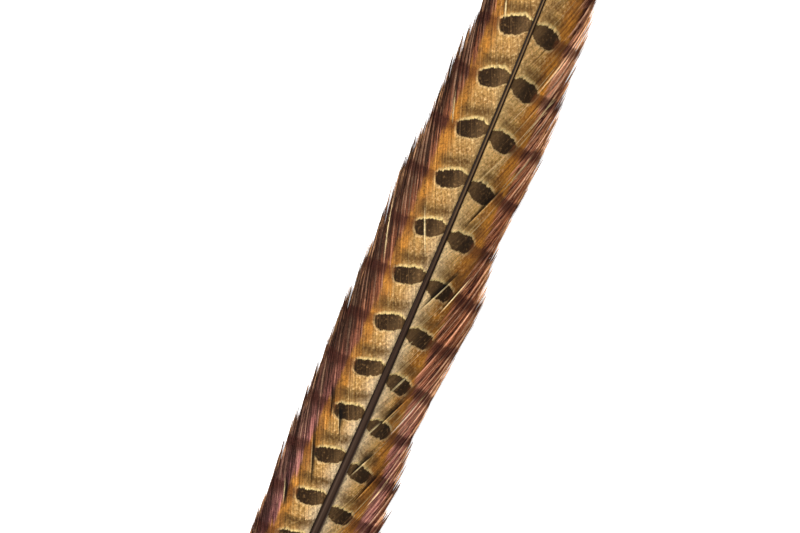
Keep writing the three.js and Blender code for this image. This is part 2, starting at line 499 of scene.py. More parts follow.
def stray(barbs):
    """Moves the barbs as seen from above, and keeps what the partings say of height, painted shade and
    painted edge light.
    """
    rng, root, out, wide, fine = barbs.rng, barbs.root, barbs.out, barbs.wide, barbs.fine
    loose, tips = barbs.loose, barbs.tips
    wave = barbs.run / rng.uniform(*WAVE_RUN, root.shape)
    wave = np.sin(wave + rng.uniform(0, 2 * math.pi, root.shape))
    draw = ((wide.middle - root) * WIDE_DRAW * tips
            + (fine.middle - root) * (FINE_DRAW[0] * loose + FINE_DRAW[1] * tips))
    sway = wide.uneven(-SWAY, SWAY) * loose * tips + (fine.uneven(-SWAY, SWAY) + WAVE * wave) * loose
    tuck = TUCK * np.clip((out - TUCK_FROM) / (1 - TUCK_FROM), 0, 1) ** 2
    part_in, part_on, barbs.part_up, barbs.fold, barbs.gap = part(barbs.side, root, out)
    waver = rng.normal(0, WAVER, root.shape) * smooth(out, 0.05, 0.3)
    on_by = part_on + fine.uneven(-1.0, 1.0) * loose**2
    in_by = draw * barbs.spread + sway + tuck + part_in + waver
    barbs.moved = barbs.flat + barbs.inward * in_by[..., None] + barbs.ahead * on_by[..., None]


for barbs in barbs_of.values():
    stray(barbs)
    print("barbs stray up to", round(np.abs(barbs.moved - barbs.flat).max(), 1), "mm")

# %% [markdown]
# ## Stack them
#
# Each wisp tilts a little over the next like a slate on a roof. The closed part keeps its barbs so close
# that each one's sides pass under its neighbours. In the outer third they come apart and end in points.

# %% Build the two webs
BARB_DEPTH = 0.11
WEB_OVERLAP = 0.84  # half a barb's width over the distance to its neighbour
BARB_END = 0.03
LOOSE_WIDER = 1.5  # loose barbs are broader by this share, which keeps the fringe closed
NARROWS = (0.88, 1.02)
WIDE_LIFT = 0.22
FINE_LIFT = 0.1
SLATE_TILT = 0.16  # how far one side of a fine wisp stands above the other
LOWEST = 0.12
# breadth of the web next to its broad part, so that the colour zones draw in with it
BREADTH = [(300, 1), (340, 0.97), (400, 0.85), (450, 0.7), (500, 0.48), (530, 0.28), (548, 0.16)]


def stack(barbs):
    """Gives the barbs their height, their width and depth, and the values their material reads."""
    rng, root, out, wide, fine = barbs.rng, barbs.root, barbs.out, barbs.wide, barbs.fine
    s, aside = barbs.flat[..., 0], barbs.flat[..., 1]
    lift = (wide.uneven(0, WIDE_LIFT) + fine.uneven(0, FINE_LIFT) + SLATE_TILT * fine.across
            + rng.uniform(-0.03, 0.03, root.shape))
    height = (web_height(s, barbs.reached) + rng.normal(0, 0.02, root.shape) + lift * barbs.loose
              + barbs.part_up)
    y = sideways(s) + barbs.side * barbs.moved[..., 1]
    barbs.path = np.stack([barbs.moved[..., 0], y, np.maximum(height, LOWEST)], axis=-1)
    narrowing = smooth(out, *NARROWS)
    closed = WEB_OVERLAP * barbs.spread * BARB_SPACING * (1 + LOOSE_WIDER * barbs.loose)
    barbs.half_width = closed * (1 - narrowing) + BARB_END * narrowing
    barbs.half_depth = BARB_DEPTH * (1 - 0.7 * smooth(out, 0.4, 1))
    barbs.values = {
        "along": s,
        "aside": aside / along(BREADTH, s),
        "root": root,
        "run": barbs.run,
        "tips": barbs.tips,
        "fold": barbs.fold,
        "gap": barbs.gap,
        "strand": rng.random(root.shape),
        "wisp": fine.uneven(0, 1),
        "across": fine.across,
    }


vanes = {}
for side, barbs in barbs_of.items():
    stack(barbs)
    vanes[side] = strips(SIDE_NAMES[side] + "_barbs", barbs.path, barbs.half_width, barbs.half_depth,
                         barbs.values, map_rows=4)

# %% [markdown]
# ## The fringe
#
# The loose ends of the barbs still carry barbules, but these have no hooks. They lie along the barb like
# fine hair and fill the gaps between the wisps. A hair system would grow them at right angles to the
# faces, so they are strips too, each from a random place on a barb and at a narrow angle to it.

# %% Lay hair along the loose ends
HAIRS = 4300
HAIR_STATIONS = 5
HAIR_ROOTS = (0.6, 0.985)  # the first and last `out` that hairs start from
HAIR_LENGTH = (1.8, 5.0)
HAIR_THICKNESS = (0.035, 0.065)  # half of it
HAIR_ANGLE = (2, 7)  # mean and spread, in degrees
HAIR_LIFT = (-0.05, 0.35)
HAIR_CURL = 0.25
SHORTER_OVER = 60  # over this distance to the tip the hairs get shorter


def between(values, row, station):
    """Reads values given at whole stations of the barbs at places between them."""
    low = np.minimum(station.astype(int), values.shape[1] - 2)
    share = (station - low).reshape((-1,) + (1,) * (values.ndim - 2))
    return values[row, low] * (1 - share) + values[row, low + 1] * share


def lay_hair(barbs, rng):
    """Hair along the loose part of barbs: its path, half its width and depth, and its values."""
    path = barbs.path
    count, stations = path.shape[:2]
    each = (HAIRS, 1, 1)
    row = rng.integers(0, count, HAIRS)
    station = (stations - 1) * rng.uniform(*HAIR_ROOTS, HAIRS) ** (1 / CROWDING)
    start = between(path, row, station)[:, None]
    ahead = unit(between(path, row, np.minimum(station + 0.5, stations - 1)) - start[:, 0])[:, None]
    outward = np.cross(ahead, [0, 0, 1.0]) * -barbs.side
    to_tip = SHAFT_LENGTH - start[..., :1]
    length = rng.uniform(*HAIR_LENGTH, each) * np.clip(to_tip / SHORTER_OVER, 0.3, 1)
    angle = np.radians(rng.normal(*HAIR_ANGLE, each))
    t = np.linspace(0, 1, HAIR_STATIONS)[None, :, None]
    lift = rng.uniform(*HAIR_LIFT, each)
    curl = rng.normal(0, HAIR_CURL, each)
    hair = start + ahead * length * t + outward * (length * np.tan(angle) * t + curl * t**2)
    hair = hair + np.array([0, 0, 1.0]) * lift * t * (2 - t)
    hair[..., 2] = np.maximum(hair[..., 2], 0.08)

    values = {key: between(np.broadcast_to(value, (count, stations)), row, station)[:, None]
              for key, value in barbs.values.items()}
    values["along"] = values["along"] + length[..., 0] * t[..., 0]
    values["run"] = values["run"] + length[..., 0] * t[..., 0]
    values["strand"] = rng.random((HAIRS, 1))
    half_width = rng.uniform(*HAIR_THICKNESS, (HAIRS, 1)) * (1 - 0.6 * t[..., 0])
    return hair, half_width, 0.5 * half_width, values


fringes = {}
for side, barbs in barbs_of.items():
    hair = lay_hair(barbs, np.random.default_rng(SEEDS[side] + 50))
    fringes[side] = strips(SIDE_NAMES[side] + "_fringe", *hair, map_rows=16)

# %% [markdown]
# ## The stems of the down
#
# The lowest barbs have no hooks at all. They are limp, so they curl and wander over each other. They
# follow the same paths as the barbs of the web, with more chance in each of them.

# %% Lay out the soft stems
DOWN_FROM = 36
DOWN_STEMS = 84
DOWN_STATIONS = 14
DOWN_TOP = 6.2
STEM_REACH = (0.6, 0.98)
STEM_CURL = 1.3
STEM_WANDER = 0.8


def lay_stems(side, rng):
    """Paths of the soft stems on one side."""
    each = (DOWN_STEMS, 1)
    root = np.sort(rng.uniform(DOWN_FROM + 1, WEB_FROM + 3, each), axis=0)
    out = np.linspace(0, 1, DOWN_STATIONS)[None]
    s, aside = barb_path(side, root, out, rng.uniform(*STEM_REACH, each))
    curl = rng.normal(0, STEM_CURL, each) * np.sin(out * rng.uniform(2, 5, each))
    tier = rng.uniform(0, 1, each)
    seat = along(SHAFT_HEIGHT, root) + 0.3
    arch = tier * (DOWN_TOP - 2.2) * np.sin(math.pi * (0.25 + 0.6 * out))
    height = seat * (1 - out) + (0.4 + arch) * out**0.5
    wander = rng.normal(0, STEM_WANDER, each) * out * np.sin(5 * out + rng.uniform(0, 6, each))
    y = sideways(s) + side * (aside + wander)
    return np.stack([s + curl * out, y, np.clip(height, 0.25, DOWN_TOP)], axis=-1)


down_rng = {side: np.random.default_rng(SEEDS[side] + 100) for side in (LEFT, RIGHT)}
stems_of = {side: lay_stems(side, down_rng[side]) for side in (LEFT, RIGHT)}
down_s = stems_of[LEFT][..., 0]
print("the down reaches from", round(down_s.min()), "to", round(down_s.max()), "mm")

# %% [markdown]
# ## Fluff
#
# Long fine barbules stand off a soft stem on all sides, and they are what makes down look like smoke.
# Each leans forward along its stem, sags and twists. A particle system could grow them too, but its hair
# would have to be turned into a mesh in the end.

# %% Lay out the barbules
BARBULES_PER_STEM = 54
BARBULE_STATIONS = 5
BARBULE_LEAN = (0.5, 1.1)
BARBULE_LENGTH = (2.4, 5.4)
BARBULE_SAG = 1.4
BARBULE_TWIST = 0.8


def lay_barbules(stem, rng):
    """Paths of the barbules along soft stems."""
    per_stem = np.linspace(0.08, 1, BARBULES_PER_STEM)
    at = per_stem * (DOWN_STATIONS - 1)
    low = np.minimum(at.astype(int), DOWN_STATIONS - 2)
    start = stem[:, low] + (stem[:, low + 1] - stem[:, low]) * (at - low)[None, :, None]
    ahead = unit(stem[:, low + 1] - stem[:, low])
    around = rng.uniform(0, 2 * math.pi, start.shape[:2])
    off = np.stack([np.zeros_like(around), np.cos(around), 0.8 * np.sin(around)], axis=-1)
    lean = rng.uniform(*BARBULE_LEAN, start.shape[:2])[..., None]
    heading = unit(ahead * lean + off).reshape(-1, 1, 3)
    length = rng.uniform(*BARBULE_LENGTH, start.shape[:2]) * (1.15 - 0.5 * per_stem)
    length = length.reshape(-1, 1, 1)
    start = start.reshape(-1, 1, 3)
    t = np.linspace(0, 1, BARBULE_STATIONS)[None, :, None]
    sag = np.array([0, 0, -1.0]) * rng.uniform(0, BARBULE_SAG, length.shape)
    twist = rng.normal(0, BARBULE_TWIST, start.shape)
    return start + heading * length * t + (sag + twist) * t**2


barbules_of = {side: lay_barbules(stem, down_rng[side]) for side, stem in stems_of.items()}
print("each side has", len(barbules_of[LEFT]), "barbules")

# %% [markdown]
# ## The tufts
#
# A real tuft of down is loose, but here it is kept to the space that the frame gives it. Stems and fluff
# are the same strips again, only much thinner.

# %% Build the down
PAST_FOOTPRINT = 1


def keep_inside(path, side):
    """Keeps down off the ground, under the CAD tuft's top and close to its footprint."""
    low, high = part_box(SIDE_NAMES[side] + "_down")
    right, left = low.y / MM - PAST_FOOTPRINT, high.y / MM + PAST_FOOTPRINT
    y = np.clip(path[..., 1] + SIDE_SHIFT, right, left) - SIDE_SHIFT
    return np.stack([path[..., 0], y, np.clip(path[..., 2], 0.06, high.z / MM)], axis=-1)


def down_strips(name, side, path, from_width, to_width, half_depth, map_rows):
    """Strips of down that get thinner to their ends."""
    stations = path.shape[1]
    values = {"strand": down_rng[side].random((len(path), 1)), "run": np.linspace(0, 1, stations)[None]}
    half_width = np.linspace(from_width, to_width, stations)
    path = keep_inside(path, side)
    return strips(SIDE_NAMES[side] + name, path, half_width, half_depth, values, map_rows)


downs = {}
for side in (LEFT, RIGHT):
    downs[side] = (
        down_strips("_down_stems", side, stems_of[side], 0.14, 0.05, 0.06, map_rows=3),
        down_strips("_down_fluff", side, barbules_of[side], 0.045, 0.02, 0.02, map_rows=40),
    )

# %% [markdown]
# ## A ring of the shaft
#
# The bare quill is a round hollow tube with a small hole in its blunt end. Above it the shaft turns into
# a solid beam, flatter on its sides, with a groove along its underside. A loft through rings can be all
# of these: each ring is a rounded box whose shape changes along the way.

# %% Shape one ring
SHAFT_POINTS = 28
SHAFT_DEPTH = 1.04  # its height over its width
BEAM = (40, 80)  # between these places the tube turns into a beam
GROOVE = (0.42, 0.32)  # depth next to the half width, and half its width as an angle
CROWN = (0.07, 0.22)  # the slight flat along the top, likewise


def shaft_ring(s, shrink=1.0):
    """One closed section of the shaft, as (SHAFT_POINTS, 3)."""
    turn = 2 * math.pi * (np.arange(SHAFT_POINTS) + 0.5) / SHAFT_POINTS
    beam = smooth(s, *BEAM)
    squareness = 1 - 0.2 * beam
    half = shaft_half(s) * shrink
    y = np.sign(np.cos(turn)) * np.abs(np.cos(turn)) ** squareness * half
    z = np.sign(np.sin(turn)) * np.abs(np.sin(turn)) ** squareness * half * SHAFT_DEPTH
    groove = np.exp(-((turn - 1.5 * math.pi) / GROOVE[1]) ** 2)
    crown = np.exp(-((turn - 0.5 * math.pi) / CROWN[1]) ** 2)
    z += beam * half * (GROOVE[0] * groove - CROWN[0] * crown)
    return np.stack([np.full(SHAFT_POINTS, s), sideways(s) + y, along(SHAFT_HEIGHT, s) + z], axis=-1)


print("at 100 mm the shaft is", round(np.ptp(shaft_ring(100.0)[:, 1]), 2), "mm wide")

# %% [markdown]
# ## A tube of rings
#
# Quads join each ring to the next, and a row of quads zips up each end. A flat map as long as the feather
# would leave each point hardly any room across, so the map is cut into columns.

# %% Faces and map of the tube
MAP_COLUMNS = 6
COLUMN_FILL = 0.98


def tube_faces(count):
    """The sides of a tube of rings, then its two ends."""
    corner = np.arange(SHAFT_POINTS)
    beside = (corner + 1) % SHAFT_POINTS
    near = np.arange(count - 1)[:, None] * SHAFT_POINTS
    far = near + SHAFT_POINTS
    sides = np.stack([near + corner, near + beside, far + beside, far + corner], axis=-1).reshape(-1, 4)
    step = np.arange(SHAFT_POINTS // 2 - 1)
    end = np.stack([step, SHAFT_POINTS - 1 - step, SHAFT_POINTS - 2 - step, step + 1], axis=-1)
    return np.concatenate([sides, end, end[:, ::-1] + (count - 1) * SHAFT_POINTS])


def tube_map(count):
    """The flat map of those faces."""
    u = np.tile(np.arange(SHAFT_POINTS) / SHAFT_POINTS, count - 1)
    v = np.repeat(np.arange(count - 1) / count, SHAFT_POINTS) * MAP_COLUMNS
    column = np.floor(v)
    left = (column + COLUMN_FILL * u) / MAP_COLUMNS
    right = (column + COLUMN_FILL * (u + 1 / SHAFT_POINTS)) / MAP_COLUMNS
    low = v - column
    sides = map_corners(left, right, low, np.minimum(low + MAP_COLUMNS / count, 1))
    corner_spot = np.array([(0, 0), (0.002, 0), (0.002, 0.002), (0, 0.002)]) + [0.997, 0.99]
    return np.concatenate([sides, np.broadcast_to(corner_spot, (SHAFT_POINTS - 2, 4, 2))])


print("a tube of 2 rings has", len(tube_faces(2)), "faces")

# %% [markdown]
# ## The whole shaft
#
# The rings start inside the hole, turn over its rim, run up to the tip and close there. The shaft is the
# one piece that is smooth to the eye, so it is shaded smooth, while the barbs keep their sharp ridges.

# %% Loft the shaft
SHAFT_STATIONS = 300
HOLE = [(3.5, 0.12), (3.5, 0.32), (1.2, 0.5), (0.15, 0.62), (0, 0.78)]  # (place, share of the end's size)
TIP_RING = 0.3
CROWDING_AT_QUILL = 1.15  # above 1 sets the rings closer together there


def loft_shaft():
    """The whole shaft as one closed mesh, with the hole in the quill's end turned inwards."""
    stations = SHAFT_LENGTH * np.linspace(0, 1, SHAFT_STATIONS) ** CROWDING_AT_QUILL
    rings = [shaft_ring(s, share * shaft_half(0) / shaft_half(s)) for s, share in HOLE]
    rings += [shaft_ring(s) for s in stations]
    rings = np.array(rings + [shaft_ring(SHAFT_LENGTH, TIP_RING)])
    s = rings[..., 0]
    inside = np.zeros_like(s)
    inside[: len(HOLE)] = 1
    values = {
        "along": s,
        "cross": (rings[..., 1] - sideways(s)) / shaft_half(s),
        "rise": (rings[..., 2] - along(SHAFT_HEIGHT, s)) / (SHAFT_DEPTH * shaft_half(s)),
        "inside": inside,
    }
    faces, flat_map = tube_faces(len(rings)), tube_map(len(rings))
    return mesh_object("quill_and_shaft", rings.reshape(-1, 3), faces, values, flat_map)


shaft = loft_shaft()
shaft.data.polygons.foreach_set("use_smooth", np.ones(len(shaft.data.polygons), bool))

# %% [markdown]
# ## Shader maths as arithmetic
#
# The pattern of this feather is a formula in two numbers: how far along the feather a point is, and how
# far out. Dozens of Math nodes placed by hand would be unreadable. So a small class wraps the output of a
# node and lets Python's own +, -, * and / add the nodes. Any other node comes from one method.

# %% A value in a material
class Value:
    """The output of a node. Arithmetic on it adds Math nodes to the same material."""

    def __init__(self, tree, socket):
        self.tree = tree
        self.socket = socket

    def node(self, kind, settings=None, sockets=None, output=0):
        """Adds a node, changes its settings first, then fills its sockets with values or links."""
        made = self.tree.nodes.new("ShaderNode" + kind)
        for key, setting in (settings or {}).items():
            setattr(made, key, setting)
        for key, value in (sockets or {}).items():
            if isinstance(value, Value):
                self.tree.links.new(value.socket, made.inputs[key])
            else:
                made.inputs[key].default_value = value
        return Value(self.tree, made.outputs[output])

    def maths(self, operation, *others):
        """A Math node of this value and the others, in that order."""
        return self.node("Math", {"operation": operation}, dict(enumerate((self, *others))))

    def __add__(self, other):
        return self.maths("ADD", other)

    __radd__ = __add__

    def __mul__(self, other):
        return self.maths("MULTIPLY", other)

    __rmul__ = __mul__

    def __sub__(self, other):
        return self.maths("SUBTRACT", other)

    def __rsub__(self, other):
        return self.node("Math", {"operation": "SUBTRACT"}, {0: other, 1: self})

    def __truediv__(self, other):
        return self.maths("DIVIDE", other)

    def __pow__(self, other):
        return self.maths("POWER", other)

    def step(self, low, high):
        """0 at `low`, 1 at `high` and a soft step between them; `low` may be the larger."""
        return self.node("MapRange", {"interpolation_type": "SMOOTHSTEP"}, {0: self, 1: low, 2: high})

    def mound(self, middle, half):
        """1 at `middle`, falling softly to 0 at `half` to either side."""
        return (self - middle).maths("ABSOLUTE").step(half, 0.0)

    def mix(self, below, above):
        """A colour: `below` where this value is 0, `above` where it is 1."""
        return self.node("Mix", {"data_type": "RGBA"}, {0: self, 6: below, 7: above}, output=2)

    def brighten(self, colour):
        """The colour times this value."""
        return self.node("VectorMath", {"operation": "SCALE"}, {0: colour, "Scale": self})

    def noise(self, other, third=0.0, detail=2.0):
        """Soft noise from 0 to 1 over a plane of two values."""
        point = self.node("CombineXYZ", None, {0: self, 1: other, 2: third})
        return self.node("TexNoise", None, {"Vector": point, "Scale": 1.0, "Detail": detail})


print("a value can", [name for name in dir(Value) if not name.startswith("_")])

# %% [markdown]
# ## A finish
#
# Each finish is one material with Blender's main shader. It reads the values that the points carry, works
# out a colour and a relief from them, and goes on its pieces.

# %% A material to be fed
class Finish(Value):
    """A new material, with its main shader ready to be fed."""

    def __init__(self, name, constants):
        self.material = bpy.data.materials.new(name)
        self.material.use_nodes = True
        self.tree = self.material.node_tree
        self.shader = self.tree.nodes["Principled BSDF"]
        for key, value in constants.items():
            self.shader.inputs[key].default_value = value

    def attribute(self, name):
        """A value that each point of the mesh carries."""
        return self.node("Attribute", {"attribute_name": name}, output="Fac")

    def feed(self, **sockets):
        """Links values to the main shader's sockets."""
        for key, value in sockets.items():
            self.tree.links.new(value.socket, self.shader.inputs[key.replace("_", " ")])

    def bump(self, height, distance):
        """Feeds the shader's normal with a relief, `distance` in metres."""
        relief = {"Height": height, "Distance": distance, "Strength": 1.0}
        self.feed(Normal=self.node("Bump", None, relief))

    def cover(self, *pieces):
        """Puts the material on pieces."""
        for piece in pieces:
            piece.data.materials.append(self.material)
        print(self.material.name, "finish of", len(self.tree.nodes), "nodes on", len(pieces), "piece(s)")


def tint(red, green, blue):
    """A screen colour, 0 to 255 each, as the shader's linear light."""
    def linear(level):
        level = level / 255
        return level / 12.92 if level <= 0.04045 else ((level + 0.055) / 1.055) ** 2.4
    return (linear(red), linear(green), linear(blue), 1.0)


print("mid grey as linear light:", round(tint(128, 128, 128)[0], 3))

# %% [markdown]
# ## The colours of the web
#
# From the shaft outwards the web goes from cream through speckled tan to orange, and its loose fringe is
# purple-brown with pale pink lights. Every 17 to 21 mm a bar crosses it: a dark spot on each side of the
# shaft with a pale rim towards the tip, a dusky band beyond the rim, and a dark patch at the same level
# in the fringe. The left web is darker than the right one, partly in its own colours and partly as
# painted shade, so the colours that differ are given in pairs, left and right.

# %% Colours of the webs
SIDE_COLOURS = {
    "cream": ((184, 152, 108), (232, 198, 144)),
    "upper": ((163, 130, 82), (212, 172, 110)),  # takes the place of cream further up
    "tan": ((177, 134, 74), (204, 157, 88)),
    "orange": ((142, 93, 42), (156, 101, 42)),
    "glow": ((182, 121, 48), (184, 120, 44)),
    "bar": ((104, 58, 24), (98, 54, 25)),
    "deep": ((62, 34, 22), (62, 26, 16)),
    "pale": ((146, 86, 58), (190, 118, 80)),
    "upper_pale": ((146, 86, 58), (210, 144, 108)),
    "outside": ((50, 32, 22), (122, 70, 42)),
}
SHARED_COLOURS = {
    "low_cream": (214, 190, 152), "dull": (150, 106, 54), "dusk": (92, 63, 27),
    "low_rim": (212, 180, 126), "rim": (216, 188, 124), "speck": (98, 64, 28),
    "glint": (236, 206, 146), "thread": (234, 202, 142), "crease": (66, 34, 14),
    "spot_at_shaft": (96, 71, 42), "spot": (46, 29, 10), "fleck": (138, 104, 66),
    "purple_deep": (80, 40, 44), "purple_pale": (186, 122, 116), "fringe_bar": (62, 28, 19),
    "rim_light": (240, 178, 120), "lit_edge": (232, 182, 144), "edge_light_tint": (255, 226, 166),
}
print(len(SIDE_COLOURS) + len(SHARED_COLOURS), "colours")

# %% [markdown]
# ## The law of the pattern
#
# The pattern is not drawn bar by bar. It follows a few measures, and noise does the rest. They differ a
# little from side to side: the spots of the left web stand higher and reach further out.

# %% Measures of the pattern
BAR_GROWTH = 0.22  # each step from bar to bar is longer than the last by twice this, in mm
LAW = {
    "start": (128.7, 127.2),  # where the count of the bars starts, in mm
    "step": (16.9, 17.15),  # the distance from bar to bar there
    "offset": (1.7, -0.35),  # how much higher the spots of this side stand
    "slant": (-0.29, -0.13),  # mm upwards for each mm outwards
    "size": (0.94, 0.95),  # factor on the length of the spots
    "size_growth": (0.037, 0.034),  # from bar to bar
    "end": (12.3, 10.2),  # how far out the spots reach, in mm
    "end_growth": (0.0, 0.1),
    "cut": (1.2, 0.6),  # how much their outer upper corner is cut off
    "orange": (12.2, 9.3),  # where the orange starts, in mm out
    "fringe": (15.6, 14.2),
    "drawn_in": (1.3, 2.6),  # how far both come in where the margin does
    "glow_at": (277, 266),  # where the orange glows most, in mm along
    "dusk_near": (3.6, 5.0),  # how far out the dusk has its full strength
    # strengths
    "dull": (0.6, 0.65),
    "dusk": (1.4, 1.15),
    "threads": (0.12, 0.6),
    "creases": (0.15, 0.62),
    "contrast": (1.0, 0.9),
    "lights": (0.2, 0.55),
}
first_bar = LAW["start"][0] + LAW["offset"][0]
bars = [first_bar + LAW["step"][0] * n + BAR_GROWTH * n**2 for n in range(4)]
print("bars of the left web at", np.round(bars), "mm and so on")

# %% [markdown]
# ## What the steps share
#
# The web's material is long, so it is made in steps. Each step reads places and noises from one object
# and leaves its result there. Most noise comes in two kinds: streaks along the barbs, and grains.

# %% A finish for each web
class Web(Finish):
    """The material of one web and its fringe, with the places and noises that its steps share."""

    def __init__(self, side):
        super().__init__(SIDE_NAMES[side] + " web", {"Roughness": 0.6, "Specular IOR Level": 0.1})
        which = (LEFT, RIGHT).index(side)
        self.law = {key: pair[which] for key, pair in LAW.items()}
        self.colour = {key: tint(*rgb) for key, rgb in SHARED_COLOURS.items()}
        self.colour.update({key: tint(*pair[which]) for key, pair in SIDE_COLOURS.items()})
        self.s, self.t = self.attribute("along"), self.attribute("aside")
        for name in ("root", "run", "strand", "wisp", "across", "edge", "tips", "fold", "gap"):
            setattr(self, name, self.attribute(name))
        self.seed = 40.0 * side
        self.streak = self.streaks(0.55, 0.05, 0.0, 3.0)
        self.grain = self.grains(0.95, 0.4, 1.05, 7.0, 3.0)
        self.fine = self.grains(2.1, 0.7, 2.3, 9.0)
        self.patch = (self.s * 0.14 + self.seed).noise(self.t * 0.2, 3.0)

    def streaks(self, per_root, per_run, layer, detail=2.0):
        """Noise that is drawn out along the barbs, given how fast it changes across and along them."""
        return (self.root * per_root + self.seed).noise(self.run * per_run, layer, detail)

    def grains(self, per_s, per_strand, per_t, layer, detail=2.0):
        """Noise over the web, given how fast it changes along it, from barb to barb and outwards."""
        place = self.s * per_s + self.strand * per_strand + self.seed
        return place.noise(self.t * per_t, layer, detail)


webs = {side: Web(side) for side in (LEFT, RIGHT)}
print("each web starts with", len(webs[LEFT].tree.nodes), "nodes")


def on_both(step):
    """Runs one step on both webs."""
    for web in webs.values():
        step(web)
    print(step.__name__, "leaves the webs with", [len(web.tree.nodes) for web in webs.values()], "nodes")


# %% [markdown]
# ## Where the bars are
#
# The distance from bar to bar grows slowly towards the tip, so the place of a bar is a square law of its
# number. Solved for the number, the law gives each point its nearest bar. A little noise and a random
# shift from barb to barb make the outlines ragged.

# %% Find the nearest bar
SLANT_TO = 9.0  # the spots slant as far out as this


def find_bars(web):
    """Sets `past`, the mm past the middle of the nearest bar, and the size and end of that bar's spot."""
    start, first_step, end = web.law["start"], web.law["step"], web.law["end"]
    wobble = ((web.strand - 0.5) * 0.32 + (web.grain - 0.5) * 1.0
              + (web.streaks(0.3, 0.1, 5.0) - 0.5) * 1.8)
    place = web.s - web.law["offset"] - web.t.maths("MINIMUM", SLANT_TO) * web.law["slant"] + wobble
    root_of = ((place - start) * (4 * BAR_GROWTH) + first_step**2).maths("SQRT")
    count = (root_of - first_step) / (2 * BAR_GROWTH)
    whole = count.maths("ROUND")
    web.past = (count - whole) * (whole * (2 * BAR_GROWTH) + first_step)
    web.bar_size = whole * web.law["size_growth"] + web.law["size"]
    web.bar_end = whole * web.law["end_growth"] + end + ((whole * 7.3).noise(end) - 0.5) * 2.4


on_both(find_bars)

# %% [markdown]
# ## Masks of the marks
#
# A mask is a value that is 1 on a mark and 0 elsewhere. The spot is a rounded box that widens away from
# the shaft. The rim is what lies just outside of it on the tip's side, and the dusk lies beyond that.

# %% Mask the spots, rims and dusk
def mark_bars(web):
    """Sets the masks of the spot, its rims, the dusky band and the level of the bar."""
    t, past, end = web.t, web.past, web.law["end"]
    half = (t.step(0.6, 4.4) * 1.5 + 1.5) * web.bar_size
    lean = t - past * 0.3 + (past - 1.0).maths("MAXIMUM", 0.0) * web.law["cut"] + (web.streak - 0.5) * 1.2
    outer = (lean / web.bar_end * 2.0 - 1.0).maths("MAXIMUM", 0.0) ** 5.0
    inside = outer + (past.maths("ABSOLUTE") / half) ** 3.0
    web.spot = inside.step(1.25, 0.8)
    web.rim = inside.step(3.2, 1.2) * (past + t * 0.1).step(-1.8, 1.0) * t.step(end + 1.5, end - 3)
    web.low_rim = inside.step(2.6, 1.2) * 0.5
    web.dusk = past.mound(6.8, 4.4) * t.step(-0.5, web.law["dusk_near"]) * t.step(end + 3, end - 1)
    web.level = past.step(2.4, 0.9) * past.step(-4.8, -1.0)


on_both(mark_bars)

# %% [markdown]
# ## The ground
#
# Under the marks lie broad soft zones: cream at the shaft, tan, then orange. They are mixed one over the
# other, each with a soft step outwards, and change slowly along the feather. The orange starts in
# streaks.

# %% Lay the ground colours
LOW_CREAM = (260.0, 140.0)  # between these places along the feather each cream gives way to another
UPPER_CREAM = (225.0, 262.0)
TOP_SHADE = (296.0, 322.0)
DRAWN_IN_AT = 195.0  # where the margin comes in most


def lay_ground(web):
    """Sets the ground colour, and `outward`, the distance out that the outer zones go by."""
    s, t, law, colour = web.s, web.t, web.law, web.colour
    cream = s.step(*LOW_CREAM).mix(colour["cream"], colour["low_cream"])
    cream = s.step(*UPPER_CREAM).mix(cream, colour["upper"])
    # Near the top the cream is darkened towards orange, as painted shade.
    cream = (s.step(*TOP_SHADE) * 0.4).mix(cream, colour["orange"])
    ground = t.step(0.8, 8.0).mix(cream, colour["tan"])
    near_bar = web.past.step(-9.5, -6.0)
    ground = ((1 - near_bar) * law["dull"] * t.step(1.0, 5.0)).mix(ground, colour["dull"])
    glow = web.patch.step(0.42, 0.62) + s.mound(law["glow_at"], 24.0)
    orange = glow.mix(colour["orange"], colour["glow"])
    web.outward = t + s.mound(DRAWN_IN_AT, 50.0) * law["drawn_in"]
    at_orange = (web.outward + (web.streak - 0.5) * 4).step(law["orange"] - 2.2, law["orange"] + 1.0)
    web.ground = at_orange.mix(ground, orange)


on_both(lay_ground)

# %% [markdown]
# ## Dusk, rims, specks and threads
#
# Dusk and rims go over the ground by their masks. The same noise gives dark specks where it is low and
# pale glints where it is high, so the two never meet. Single pale threads run along the barbs, and so do
# thin dark lines of painted shade, as in creases between them.

# %% Draw on the ground
def draw_on_ground(web):
    """Adds what lies on the ground between the spots."""
    t, grain, dusk, law, colour = web.t, web.grain, web.dusk, web.law, web.colour
    web.thread = web.streaks(0.8, 0.02, 11.0).step(0.58, 0.7) * t.step(2.0, 6.0)
    # Painted shade: thin dark lines along the barbs, as in creases.
    crease = web.streaks(0.75, 0.018, 17.0).step(0.58, 0.66) * t.step(3.0, 7.0)
    for name, mask in (
        ("dusk", dusk * (0.85 - grain * 0.4) * law["dusk"]),
        ("low_rim", web.low_rim),
        ("rim", web.rim * 0.9),
        ("speck", grain.step(0.5, 0.32) * t.step(0.3, 3.0) * (0.42 - dusk * 0.25)),
        ("glint", grain.step(0.52, 0.7) * t.step(12.0, 9.0) * (0.4 - dusk * 0.3)),
        ("thread", web.thread * law["threads"]),
        ("crease", crease * law["creases"]),
    ):
        web.ground = mask.mix(web.ground, colour[name])


on_both(draw_on_ground)

# %% [markdown]
# ## The spots
#
# A spot is nearly black, browner close to the shaft, with a few paler flecks. Past its outer end the bar
# goes on as a brown shade.

# %% Paint the spots
def paint_spots(web):
    """Sets the pattern of the closed web."""
    t, end, colour = web.t, web.law["end"], web.colour
    dark = t.step(1.5, 8.0).mix(colour["spot_at_shaft"], colour["spot"])
    spot = (web.grain.step(0.55, 0.72) * 0.45 + web.thread * 0.3).mix(dark, colour["fleck"])
    pattern = web.spot.mix(web.ground, spot)
    web.pattern = (t.step(end - 1, end + 0.6) * web.level * 0.8).mix(pattern, colour["bar"])


on_both(paint_spots)

# %% [markdown]
# ## The fringe's colours
#
# The fringe has no soft zones. Each hair and each wisp has its own tone between a deep and a pale brown,
# more purple low down. The edges of wisps and the outermost hairs catch the light.

